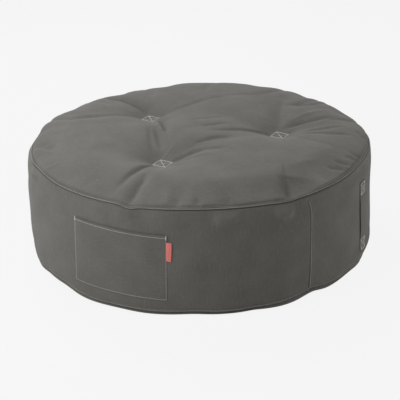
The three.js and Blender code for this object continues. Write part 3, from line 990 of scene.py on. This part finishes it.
def tuft_lines(chosen):
    """The chosen lines of each tuft's stitched box."""
    turn = math.radians(TUFT_TURN)
    cosine, sine = math.cos(turn), math.sin(turn)
    box = box_lines(TUFT_SIDE)
    return [
        [(cx + a * cosine - b * sine, cy + a * sine + b * cosine, ABOVE_CROWN) for a, b in box[i]]
        for cx, cy in TUFTS.values() for i in chosen
    ]


def band_line(azimuth, flat_points):
    """Points round the band from an azimuth, given as across and height."""
    across, height = np.array(flat_points, dtype=float).T
    steps = max(int(np.hypot(*(np.diff(flat_points, axis=0).T)).sum() / LINE_STEP), 2)
    share = np.linspace(0, 1, len(across))
    fine = np.linspace(0, 1, steps)
    return on_band(azimuth, np.interp(fine, share, across), np.interp(fine, share, height), 0.0)


def band_seam_line():
    height = np.linspace(*BAND_SEAM_ENDS, 60)
    return on_band(BAND_SEAM_AZIMUTH, BAND_SEAM_STITCH_OFF - seam_bend(height), height, 0.0)


def pocket_lines():
    half = POCKET_ARC / 2 - POCKET_INSET
    low, high = POCKET_BOTTOM + POCKET_INSET, POCKET_TOP - POCKET_STITCH_START
    hem = POCKET_TOP - POCKET_HEM
    ends = [
        [(-half, high), (-half, low)], [(-half, low), (half, low)],
        [(half, low), (half, high)], [(-half, hem), (half, hem)],
    ]
    return [band_line(POCKET_AZIMUTH, line) for line in ends]


def bartack_lines():
    half = POCKET_ARC / 2 - POCKET_INSET
    low, high = POCKET_TOP - BARTACK_LENGTH, POCKET_TOP + BARTACK_PAST
    places = [side * half + shift for side in (-1, 1) for shift in BARTACK_ROWS]
    return [band_line(POCKET_AZIMUTH, [(place, low), (place, high)]) for place in places]


def handle_lines():
    box = box_lines(HANDLE_WIDTH - 2 * HANDLE_INSET)
    inwards = HANDLE_SEWN / 2 + HANDLE_BOX_SHIFT
    return [
        band_line(HANDLE_AZIMUTH, [(a, middle + b) for a, b in ends])
        for middle in (HANDLE_BOTTOM + inwards, HANDLE_TOP - inwards) for ends in box
    ]


# ---- Shader maths

class Flow:
    """A socket in a material's nodes. Operators on it add Math nodes, and node adds any other."""

    def __init__(self, tree, socket=None):
        self.tree = tree
        self.socket = socket

    def node(self, kind, settings, inputs, output=0):
        """A new node: its settings are set first, then its sockets from values or Flows."""
        made = self.tree.nodes.new(kind)
        for key, value in settings.items():
            setattr(made, key, value)
        for key, value in inputs.items():
            if isinstance(value, Flow):
                self.tree.links.new(value.socket, made.inputs[key])
            else:
                made.inputs[key].default_value = value
        return Flow(self.tree, made.outputs[output])

    def maths(self, operation, *values, clamp=False):
        settings = {"operation": operation, "use_clamp": clamp}
        return self.node("ShaderNodeMath", settings, dict(enumerate(values)))

    def __add__(self, other):
        return self.maths("ADD", self, other)

    def __sub__(self, other):
        return self.maths("SUBTRACT", self, other)

    def __rsub__(self, other):
        return self.maths("SUBTRACT", other, self)

    def __mul__(self, other):
        return self.maths("MULTIPLY", self, other)

    __radd__ = __add__
    __rmul__ = __mul__

    def sine(self):
        return self.maths("SINE", self)

    def other_output(self, output):
        """Another output of the node that this one comes from."""
        return Flow(self.tree, self.socket.node.outputs[output])

    def feed(self, shader, name):
        self.tree.links.new(self.socket, shader.inputs[name])


def mix(share, first, second):
    """Colour between two colours by a share."""
    return share.node("ShaderNodeMix", {"data_type": "RGBA"}, {0: share, 6: first, 7: second}, output=2)


def new_material(name, values):
    """A material, the start of its node maths, and its shader with the given values."""
    material = bpy.data.materials.new(name)
    material.use_nodes = True
    shader = material.node_tree.nodes["Principled BSDF"]
    for key, value in values.items():
        shader.inputs[key].default_value = value
    return material, Flow(material.node_tree), shader


def cloth_coordinates(flow):
    """The cloth's own flat coordinates, in millimetres: both together, across and along."""
    flat = flow.node("ShaderNodeUVMap", {"uv_map": "cloth"}, {})
    scaled = flow.node("ShaderNodeVectorMath", {"operation": "SCALE"}, {0: flat, "Scale": 1 / MM})
    across = flow.node("ShaderNodeSeparateXYZ", {}, {0: scaled})
    return scaled, across, across.other_output(1)


def stretched_noise(coordinates, scale_across, scale_along, detail):
    """Noise in cloth coordinates, stretched along one thread direction."""
    scale = (scale_across, scale_along, 1.0)
    placed = coordinates.node("ShaderNodeMapping", {}, {"Vector": coordinates, "Scale": scale})
    return coordinates.node("ShaderNodeTexNoise", {}, {"Vector": placed, "Scale": 1.0, "Detail": detail})


def rgba(r, g, b):
    return (r, g, b, 1.0)


def shaded(colour, share):
    """A colour made lighter or darker by a share."""
    return rgba(*(c * share for c in colour))


# The cloth's uneven threads
WEAVE_NOISE = {
    # scale across, scale along, detail
    "fine": (0.06, 0.5, 2.0),
    "streaks": (0.045, 0.2, 2.0),
    "crossing": (0.3, 0.06, 2.0),
    "cloud": (0.012, 0.012, 3.0),
    "nubs": (0.16, 0.42, 0.0),
    "slubs": (0.045, 0.26, 0.0),
}
SHADE_MIDDLE, SHADE_CONTRAST = 0.875, 1.7
NUB_FROM, PIT_FROM, SLUB_FROM, SPOT_STEEPNESS = 0.70, 0.30, 0.69, 9.0
SLUB_SHARE, PIT_SHARE = 0.8, 0.7
THREAD_GLOSS, WEAVE_RELIEF = 0.08, 0.0006


def woven_material(name, colour, thread_mm, mottle=0.16, roughness=0.92, weave_depth=0.25):
    """Plain-woven cloth: crossing threads, uneven slubs and a faint cloudiness of its dye."""
    material, flow, shader = new_material(name, {
        "Specular IOR Level": 0.2, "Sheen Weight": 0.15, "Sheen Roughness": 0.6})
    coordinates, across, along = cloth_coordinates(flow)
    turn = math.pi / thread_mm
    threads = (across * turn).sine() * (along * turn).sine() * 0.5 + 0.5
    noise = {part: stretched_noise(coordinates, *values) for part, values in WEAVE_NOISE.items()}
    fine, streaks, crossing, nubs = (noise[part] for part in ("fine", "streaks", "crossing", "nubs"))
    shade = fine * 0.2 + streaks * 0.35 + crossing * 0.2 + noise["cloud"]
    nub, pit, slub = (
        above.maths("MULTIPLY", above, SPOT_STEEPNESS, clamp=True)
        for above in (nubs - NUB_FROM, PIT_FROM - nubs, noise["slubs"] - SLUB_FROM)
    )
    tone = (shade - SHADE_MIDDLE) * SHADE_CONTRAST + 0.5 + nub + slub * SLUB_SHARE - pit * PIT_SHARE
    mix(tone, shaded(colour, 1 - mottle), shaded(colour, 1 + mottle)).feed(shader, "Base Color")
    (roughness - THREAD_GLOSS * threads).feed(shader, "Roughness")
    relief = threads + fine * 1.2 + streaks * 1.6 + crossing
    flow.node("ShaderNodeBump", {}, {
        "Strength": weave_depth, "Distance": WEAVE_RELIEF, "Height": relief}).feed(shader, "Normal")
    return material


def thread_material(name, colour):
    """Twisted sewing thread: its twist is a fine spiral over each stitch."""
    material, flow, shader = new_material(name, {"Roughness": 0.55, "Specular IOR Level": 0.3})
    place = flow.node("ShaderNodeTexCoord", {}, {}, output=3)
    twist = flow.node("ShaderNodeTexWave", {"wave_type": "BANDS", "bands_direction": "DIAGONAL"}, {
        "Vector": place, "Scale": 900.0, "Distortion": 1.5}).other_output(1)
    mix(twist, shaded(colour, 0.8), shaded(colour, 1.15)).feed(shader, "Base Color")
    flow.node("ShaderNodeBump", {}, {
        "Strength": 0.3, "Distance": 0.0002, "Height": twist}).feed(shader, "Normal")
    return material


# ---- Stage, lamps and camera

# The camera and the lamps are placed in metres
CAMERA_AZIMUTH = 25.2
CAMERA_REACH, CAMERA_HEIGHT, CAMERA_SHIFT = 2.789, 1.3951, 0.0053
CAMERA_PITCH = 24.89
CAMERA_LENS = 91.84
BACKDROP = 0.922
FLOOR_WHITE = 0.945
FLOOR_BACKDROP_SHARE = 0.93
FLOOR_SIZE, FLOOR_GREY = 30, 0.82
WORLD_LIGHT = 0.243
LAMPS_AIM = 0.15                 # height that the lamps face
LAMPS = [
    # name, azimuth from the camera, elevation, distance, size, watts
    ("key", -50, 35, 1.7, 0.8, 9.3),
    ("back", -150, 50, 3.1, 1.3, 36),
    ("right", 80, 15, 1.7, 0.8, 3.25),
]


def heading(azimuth):
    """Level direction from the middle towards an azimuth."""
    turn = math.radians(azimuth)
    return Vector((math.sin(turn), -math.cos(turn), 0))


def make_camera():
    data = bpy.data.cameras.new("camera")
    data.lens, data.sensor_width = CAMERA_LENS, 36.0
    camera = bpy.data.objects.new("camera", data)
    bpy.context.scene.collection.objects.link(camera)
    sideways = heading(CAMERA_AZIMUTH + 90)
    camera.location = heading(CAMERA_AZIMUTH) * CAMERA_REACH + sideways * CAMERA_SHIFT
    camera.location.z = CAMERA_HEIGHT
    pitch = math.radians(CAMERA_PITCH)
    look = -heading(CAMERA_AZIMUTH) * math.cos(pitch) - Vector((0, 0, math.sin(pitch)))
    camera.rotation_euler = look.to_track_quat("-Z", "Y").to_euler()
    bpy.context.scene.camera = camera


def add_lamp(name, azimuth, elevation, distance, size, watts):
    """A square soft box that faces the middle of the pouf."""
    data = bpy.data.lights.new(name, "AREA")
    data.size, data.energy = size, watts
    lamp = bpy.data.objects.new(name, data)
    bpy.context.scene.collection.objects.link(lamp)
    rise = math.radians(elevation)
    middle = Vector((0, 0, LAMPS_AIM))
    lamp.location = middle + (heading(azimuth) * math.cos(rise) + Vector((0, 0, math.sin(rise)))) * distance
    lamp.rotation_euler = (middle - lamp.location).to_track_quat("-Z", "Y").to_euler()
    lamp.visible_camera = False


def make_stage():
    """A pale floor that is seen at backdrop white and still takes the pouf's shadow."""
    bpy.ops.object.select_all(action="DESELECT")
    bpy.ops.mesh.primitive_plane_add(size=FLOOR_SIZE, location=(0, 0, 0))
    floor = bpy.context.object
    floor.name = "floor"
    grey = rgba(FLOOR_GREY, FLOOR_GREY, FLOOR_GREY)
    material, flow, shader = new_material("pale_floor", {"Base Color": grey, "Roughness": 0.9})
    output = flow.tree.nodes["Material Output"]
    show_backdrop(Flow(flow.tree, shader.outputs[0]), output, FLOOR_BACKDROP_SHARE, FLOOR_WHITE)
    floor.data.materials.append(material)

    world = bpy.data.worlds.new("studio")
    bpy.context.scene.world = world
    world.use_nodes = True
    flow = Flow(world.node_tree)
    lit = flow.node("ShaderNodeBackground", {}, {"Color": rgba(1, 1, 1), "Strength": WORLD_LIGHT})
    show_backdrop(lit, flow.tree.nodes["World Output"], 1.0, BACKDROP)


def show_backdrop(lit, output, share, white):
    """Shows the backdrop's white to the camera and in reflections, over what is lit."""
    camera, glossy, transmitted = (lit.node("ShaderNodeLightPath", {}, {}, output=i) for i in (0, 3, 6))
    rays = camera + glossy + transmitted
    seen = rays.maths("MINIMUM", rays, 1.0)
    shown = lit.node("ShaderNodeEmission", {}, {"Color": rgba(white, white, white)})
    lit.node("ShaderNodeMixShader", {}, {0: seen * share, 1: lit, 2: shown}).feed(output, "Surface")


# ---- The pouf

CANVAS = (0.167, 0.161, 0.1445)
WEBBING = (0.160, 0.155, 0.142)
RIBBON = (0.98, 0.255, 0.225)
THREAD = (0.78, 0.77, 0.72)
SEAM_THREAD = (0.59, 0.58, 0.535)      # duller, for the two rows that run round the pouf


def finish_piece(obj, material, replaces=()):
    """Gives a finished piece its cloth and its body, and hides the frame nodes it stands for."""
    obj.data.materials.append(material)
    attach(obj, "root")
    if replaces:
        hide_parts(*replaces)


def build():
    canvas = woven_material("canvas", CANVAS, 0.9)
    pocket_canvas = woven_material("pocket_canvas", CANVAS, 0.9)
    webbing = woven_material("webbing", WEBBING, 1.6, mottle=0.06, weave_depth=0.5)
    ribbon = woven_material("ribbon", RIBBON, 0.6, mottle=0.05, roughness=0.6, weave_depth=0.15)
    thread = thread_material("thread", THREAD)
    seam_thread = thread_material("seam_thread", SEAM_THREAD)

    cushion = make_cushion()
    finish_piece(cushion, canvas, ["cushion"])

    pocket = make_pocket()
    finish_piece(pocket, pocket_canvas, ["side_pocket"])

    tab = make_tab()
    finish_piece(tab, ribbon, ["pocket_tab"])

    handle = make_handle()
    finish_piece(handle, webbing, ["carry_handle"])

    body, patch, strap = surface_tree(cushion), surface_tree(pocket), surface_tree(handle)
    mouth = surface_tree(pocket, cushion)
    top_seam = [ring_line(*TOP_SEAM_THREAD, TOP_SEAM_WAVES)]
    bottom_seam = [ring_line(*BOTTOM_SEAM_THREAD, BOTTOM_SEAM_WAVES)]
    rows = [
        # name, thread, lines, cloth, way off the cloth, stitch size
        ("top_seam_stitches", seam_thread, top_seam, body, outwards, {"thickness": 1.1}),
        ("bottom_seam_stitches", seam_thread, bottom_seam, body, outwards, {}),
        ("band_seam_stitches", thread, [band_seam_line()], body, outwards, {}),
        ("tuft_stitches", thread, tuft_lines(TUFT_BOLD_LINES), body, up, {"length": 4.0, "thickness": 2.1}),
        ("tuft_cross_stitches", thread, tuft_lines(TUFT_FINE_LINES), body, up, {}),
        ("pocket_stitches", thread, pocket_lines(), patch, outwards, {"thickness": 1.3}),
        ("pocket_bartacks", thread, bartack_lines(), mouth, outwards,
         {"pitch": 2.2, "length": 2.4, "thickness": 1.7}),
        ("handle_stitches", thread, handle_lines(), strap, outwards, {"thickness": 2.6}),
    ]
    for name, material, lines, cloth, outward, size in rows:
        finish_piece(sew(name, lines, cloth, outward, **size), material)


bpy.context.scene.view_settings.view_transform = "Standard"
make_camera()
make_stage()
for lamp_name, from_camera, *setting in LAMPS:
    add_lamp(lamp_name, CAMERA_AZIMUTH + from_camera, *setting)
build()
